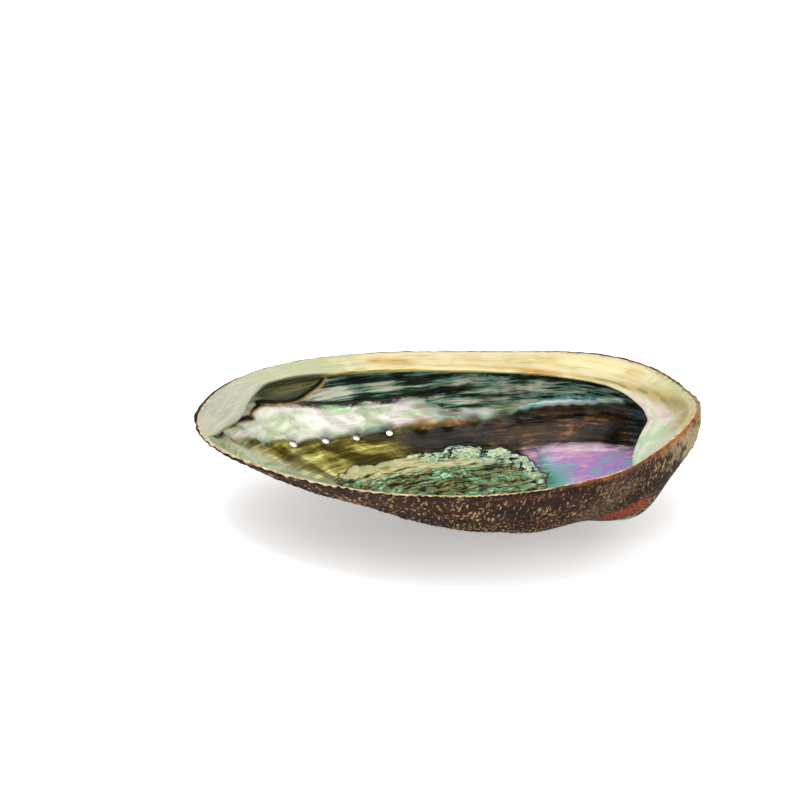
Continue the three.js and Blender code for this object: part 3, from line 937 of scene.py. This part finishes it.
flake_band = add("Math", (flake_band, value["aqua"]), operation="MULTIPLY")
scar_colour = add(
    "ValToRGB",
    (weigh((flakes[1], 0.55), (fine_streaks, 2.4), (long_streaks, 1.4), (ripples, 0.8)),),
    stops=(
        (0.14, "#090b06"), (0.3, "#1e270f"), (0.42, "#4a5422"), (0.52, "#9a9053"),
        (0.57, "#bd9970"), (0.63, "#446b2a"), (0.7, "#287e5b"), (0.82, "#6dc59d"),
        (0.95, "#bde0c3"),
    ),
)
scar_colour = laid(scar_colour, (
    (
        flake_band, weigh((flakes[1], 0.7), (ripples, 1.6), (fine_streaks, 1.6)),
        (
            (0.22, "#0a0e0a"), (0.34, "#2d512d"), (0.42, "#65ba9d"), (0.52, "#efe6c9"),
            (0.62, "#a4cfbe"), (0.72, "#e6e6c3"), (0.82, "#beca5a"), (0.94, "#93c2a0"),
        ),
    ),
    (
        value["straw"], weigh((long_streaks, 1.6), (fine_streaks, 1.8)),
        (
            (0.18, "#323112"), (0.3, "#7c7c3e"), (0.42, "#bfbd83"), (0.56, "#d3cda1"),
            (0.68, "#c5ad88"), (0.8, "#abc585"),
        ),
    ),
))
colour = add("Mix", {0: inside_scar, 6: colour, 7: scar_colour}, output=2, data_type="RGBA")
crack = add("ValToRGB", (flakes[0],), stops=((0.01, 1.0), (0.06, 0.0)))
crack = add("Math", (crack, inside_scar), operation="MULTIPLY")
whole = add("Math", (1.0, value["straw"]), operation="SUBTRACT")
crack = add("Math", (crack, whole), operation="MULTIPLY")
gaps = add("ValToRGB", (ripples,), stops=((0.42, 0.0), (0.56, 1.0)))
crack = add("Math", (crack, gaps), operation="MULTIPLY")
outline = add("Math", (value["scar"],), operation="ABSOLUTE")
outline = add("ValToRGB", (outline,), stops=((0.1, 1.0), (0.4, 0.0)))
broken = add("ValToRGB", (long_streaks,), stops=((0.4, 0.0), (0.5, 0.9)))
far = add("Math", (1.0, value["near"]), operation="SUBTRACT")
broken = add("Math", (broken, far), operation="MULTIPLY")
outline = add("Math", (outline, broken), operation="MULTIPLY")
dark_line = add("Math", (crack, outline), operation="MAXIMUM")

# Painted shade along the groove on the far wall.
groove_shade = add("Math", (1.0, value["shade"]), operation="SUBTRACT")
groove_shade = add("Math", (value["fold_at"], groove_shade), operation="MULTIPLY")
groove_shade = add("Math", (line("fold", 2.0, 1.0, 0.64, 1.4), groove_shade), operation="MULTIPLY")
colour = add("Mix", {0: groove_shade, 6: colour, 7: linear("#1d1b13")}, output=2, data_type="RGBA")

# The shelf: paler, closer nacre with faint bands, cream over old layers.
across = add("Math", (patches, 1.5), operation="MULTIPLY")
across = add("Math", (value["rim"], 1.6, across), operation="MULTIPLY_ADD")
bands = add("TexNoise", {"W": across, "Scale": 1.0, "Detail": 2.0}, noise_dimensions="1D")
shelf_film = add(
    "Math", (value["shelf_tone"], weigh((patches, 0.6), (bands, 0.7), (fine_streaks, 0.2))),
    operation="ADD",
)
shelf_film = add("Math", (shelf_film, 0.5), operation="SUBTRACT")
shelf_colour = add(
    "ValToRGB", (shelf_film,),
    stops=(
        (0.08, "#bba863"), (0.24, "#d7c485"), (0.38, "#e6d8ac"), (0.52, "#bbbf88"),
        (0.64, "#b9bf9f"), (0.76, "#bcb8a2"), (0.9, "#a5aa98"),
    ),
)
cream = add("ValToRGB", (fine_streaks,), stops=((0.5, 0.0), (0.62, 0.22)))
shelf_colour = add(
    "Mix", {0: cream, 6: shelf_colour, 7: linear("#f2eeda")}, output=2, data_type="RGBA",
)
pink = weigh((bands, 1.2), (patches, 1.4))
pink = add("Math", (value["near"], -0.25, pink), operation="MULTIPLY_ADD")
shelf_colour = laid(shelf_colour, (
    (
        value["plateau"], pink,
        (
            (0.1, "#acc5a0"), (0.3, "#d4d8bf"), (0.46, "#dfcec6"), (0.58, "#d9b4bb"),
            (0.7, "#cda4ba"), (0.82, "#b6a7c6"), (0.94, "#b2cfb6"),
        ),
    ),
    # The gutter: ochre, darkened as painted shade.
    (
        value["ochre"], weigh((bands, 1.6), (patches, 1.0)),
        ((0.25, "#62541a"), (0.45, "#97802e"), (0.6, "#c4a950"), (0.8, "#807436")),
    ),
    # The recess under the shelf's inner edge: olive nacre darkened as painted shade.
    (
        value["recess"], wild,
        ((0.2, "#121301"), (0.5, "#2a2d06"), (0.75, "#535613"), (0.95, "#8d8038")),
    ),
))
on_shelf = add("Math", (1.0, value["bowl"]), operation="SUBTRACT")
draped = add("ValToRGB", (value["drape"],), stops=((0.0, 0.0), (0.3, 1.0)))
on_shelf = add("Math", (on_shelf, draped), operation="MAXIMUM")
colour = add("Mix", {0: on_shelf, 6: colour, 7: shelf_colour}, output=2, data_type="RGBA")
stained = add("Math", (weigh((patches, 2.0), (fine_streaks, 0.8)), 0.3), operation="MULTIPLY")
stained = add("Math", (value["stain"], stained), operation="ADD")
colour = laid(colour, (
    (
        add("ValToRGB", (stained,), stops=((0.4, 0.0), (0.85, 0.9))),
        weigh((fine_streaks, 1.4), (patches, 1.6)),
        ((0.15, "#7d4d10"), (0.38, "#c08a2a"), (0.58, "#e3b450"), (0.8, "#f0d694")),
    ),
))
# Dark line along the drape's edge.
drape_line = line("drape", 0.8, 0.2, 0.72, 1.56)
dark_line = add("Math", (dark_line, drape_line), operation="MAXIMUM")
colour = add("Mix", {0: dark_line, 6: colour, 7: linear("#15100a")}, output=2, data_type="RGBA")
# The lip's own edge: bare prismatic layer, cream to tan, chalky.
lip_edge = add("Math", (value["shelf"], 0.45, 0.14), operation="MULTIPLY_ADD")
lip_edge = add("Math", (value["rim"], lip_edge), operation="MULTIPLY")
colour = laid(colour, (
    (
        add("ValToRGB", (lip_edge,), stops=((0.2, 0.9), (0.36, 0.0))), chalk,
        ((0.35, "#a07c46"), (0.5, "#cdb684"), (0.65, "#e6d6a4")),
    ),
))

height = weigh((fine_streaks, 1.2), (ripples, 1.0))
smoother = add("Math", (on_shelf, -0.75, 1.0), operation="MULTIPLY_ADD")
height = add("Math", (height, smoother), operation="MULTIPLY")
lower = add("Math", (dark_line, 0.6), operation="MULTIPLY")
height = add("Math", (height, lower), operation="SUBTRACT")
relief = add("Bump", {"Strength": 0.3, "Distance": 0.0006, "Height": height})
shine = add(
    "ValToRGB", (weigh((ripples, 1.0), (inside_scar, 0.8)),), stops=((0.1, 0.14), (0.9, 0.4)),
)
surface = add(
    "BsdfPrincipled",
    {
        "Base Color": colour, "Roughness": shine, "Normal": relief, "Metallic": 0.15, "IOR": 1.5,
        "Specular IOR Level": 0.22, "Coat Weight": 0.1, "Coat Roughness": 0.08, "Coat IOR": 1.5,
    },
)
add("OutputMaterial", {"Surface": surface})

# Crust: the outer layer, chalky and dull, red-brown with straw-coloured dashes where the ribs are
# worn, brick red and grey-blue nacre showing through round the spire.
crust, tree = material("weathered_shell_crust")
value = {name: add("Attribute", output="Fac", attribute_name=name) for name in ON_BACK}
grown = add("UVMap", output="UV", uv_map="growth")
object_place = add("TexCoord", output="Object")
blotches, grit, specks = [
    add(
        "TexNoise",
        {
            "Vector": object_place, "Scale": 1000 / size, "Detail": detail, "Roughness": rough,
            "Distortion": warp,
        },
    )
    for size, detail, rough, warp in ((18, 5, 0.6, 0.5), (0.9, 3, 0.7, 0), (2.4, 4, 0.65, 0.6))
]


def patch(name, first, full, share):
    """A patch with a ragged edge: where it starts to show, where it is whole, and how strongly."""
    noisy = add("Math", (weigh((specks, 1.6), (blotches, 1.2)), value[name]), operation="ADD")
    noisy = add("Math", (noisy, 0.5), operation="MULTIPLY")
    noisy = add("ValToRGB", (noisy,), stops=((first, 0.0), (full, 1.0)))
    return add("Math", (noisy, share), operation="MULTIPLY")


# Dashes of straw colour, finer on the far side, where the shell was younger.
dashes, finer = streaks(1.5, 5.5, 2, 0.6, 0.15), streaks(0.8, 2.6, 2, 0.6, 0.15)
finer = add("Math", (finer, dashes), operation="SUBTRACT")
dashes = add("Math", (value["far_side"], finer, dashes), operation="MULTIPLY_ADD")
bands = streaks(90, 4.6, 4, 0.6, 0.2)
brown = add(
    "ValToRGB", (weigh((blotches, 1.6), (bands, 1.8), (specks, 0.8)),),
    stops=(
        (0.1, "#110603"), (0.35, "#250f07"), (0.55, "#391a0d"), (0.75, "#4e2613"),
        (0.95, "#5f381a"),
    ),
)
dirt = add("ValToRGB", (grit,), stops=((0.38, 0.6), (0.56, 0.0)))
brown = add("Mix", {0: dirt, 6: brown, 7: linear("#20130e")}, output=2, data_type="RGBA")
straw_share = add(
    "ValToRGB", (weigh((dashes, 3.2), (blotches, 1.3), (specks, 0.7)),),
    stops=((0.73, 0.0), (0.92, 0.8)),
)
straw = add("ValToRGB", (grit,), stops=((0.35, "#7d6339"), (0.6, "#c9b684")))
crust_colour = add("Mix", {0: straw_share, 6: brown, 7: straw}, output=2, data_type="RGBA")
crust_colour = add(
    "Mix", {0: value["back_edge"], 6: crust_colour, 7: linear("#2a1811")},
    output=2, data_type="RGBA",
)
crust_colour = laid(crust_colour, (
    (
        patch("spire_end", 0.48, 0.7, 0.8), specks,
        ((0.36, "#5f4430"), (0.5, "#b59f72"), (0.62, "#8d8a70")),
    ),
    (patch("spire", 0.5, 0.78, 0.85), grit, ((0.4, "#6c2a19"), (0.6, "#a8432a"))),
    (value["amber_lip"], specks, ((0.35, "#6b3015"), (0.6, "#b5682c"))),
    (
        patch("apex", 0.6, 0.7, 0.95), specks,
        ((0.38, "#5f6f75"), (0.52, "#93a8aa"), (0.64, "#b5a68c")),
    ),
))
height = weigh((dashes, 1.2), (grit, 0.7), (specks, 0.8))
relief = add("Bump", {"Strength": 0.7, "Distance": 0.0008, "Height": height})
surface = add(
    "BsdfPrincipled",
    {
        "Base Color": crust_colour, "Roughness": 0.82, "Normal": relief, "IOR": 1.45,
        "Specular IOR Level": 0.2,
    },
)
add("OutputMaterial", {"Surface": surface})

mesh.materials.clear()
mesh.materials.append(nacre)
mesh.materials.append(crust)
rim_mean = np.bincount(owner, rim[corner]) / sizes
shelf_mean = np.bincount(owner, shelf_share(turn[corner])) / sizes
is_crust = (rim_mean < mix(0.4, 0.2, shelf_mean)).astype(np.int32)
mesh.polygons.foreach_set("material_index", is_crust)
deselect()
shell.select_set(True)
bpy.context.view_layer.objects.active = shell
bpy.ops.object.shade_smooth()

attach(shell, "root")
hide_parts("shell")

# --- Floor, light and camera --------------------------------------------------------------------
deselect()
bpy.ops.mesh.primitive_plane_add(size=8, location=(0, 0, -0.0001))
floor = bpy.context.active_object
floor.name = "floor"
paper, tree = material("white_paper")
surface = add(
    "BsdfPrincipled",
    {
        "Base Color": linear("#fbfbfb"), "Roughness": 0.9, "Emission Color": linear("#ffffff"),
        "Emission Strength": 0.4,
    },
)
add("OutputMaterial", {"Surface": surface})
floor.data.materials.append(paper)

world = bpy.data.worlds.new("studio")
bpy.context.scene.world = world
world.use_nodes = True
world.node_tree.nodes["Background"].inputs[0].default_value = (1, 1, 1, 1)
world.node_tree.nodes["Background"].inputs[1].default_value = 0.78
for name, at, size, watts in (
    ("soft_box", (-0.2, -0.3, 1.15), 1.2, 7),
    ("fill", (0.9, -0.4, 0.5), 0.9, 2),
    ("spark", (-0.35, -0.3, 1.2), 0.12, 1.6),
):
    deselect()
    bpy.ops.object.light_add(type="AREA", location=at)
    lamp = bpy.context.active_object
    lamp.name = name
    lamp.data.size = size
    lamp.data.energy = watts
    lamp.rotation_euler = (Vector((0, 0, 0.02)) - Vector(at)).to_track_quat("-Z", "Y").to_euler()

bpy.ops.object.camera_add()
camera = bpy.context.active_object
level_at = Vector((0, -739.84, 338.09))
level_look = (Vector((0, -14.79, 0)) - level_at).normalized()
camera.location = to_rest(level_at)
look = lie @ level_look
up = lie @ Vector((0, 0, 1))
sideways = look.cross(up).normalized()
up = sideways.cross(look)
camera.rotation_euler = Quaternion(
    Matrix((sideways, up, -look)).transposed().to_quaternion()
).to_euler()
camera.data.lens = 123.8
camera.data.sensor_width = 36
camera.data.shift_x = -0.0645
camera.data.shift_y = 0.051
camera.data.clip_end = 20
bpy.context.scene.camera = camera

bpy.context.scene.view_settings.view_transform = "Standard"
bpy.context.view_layer.update()
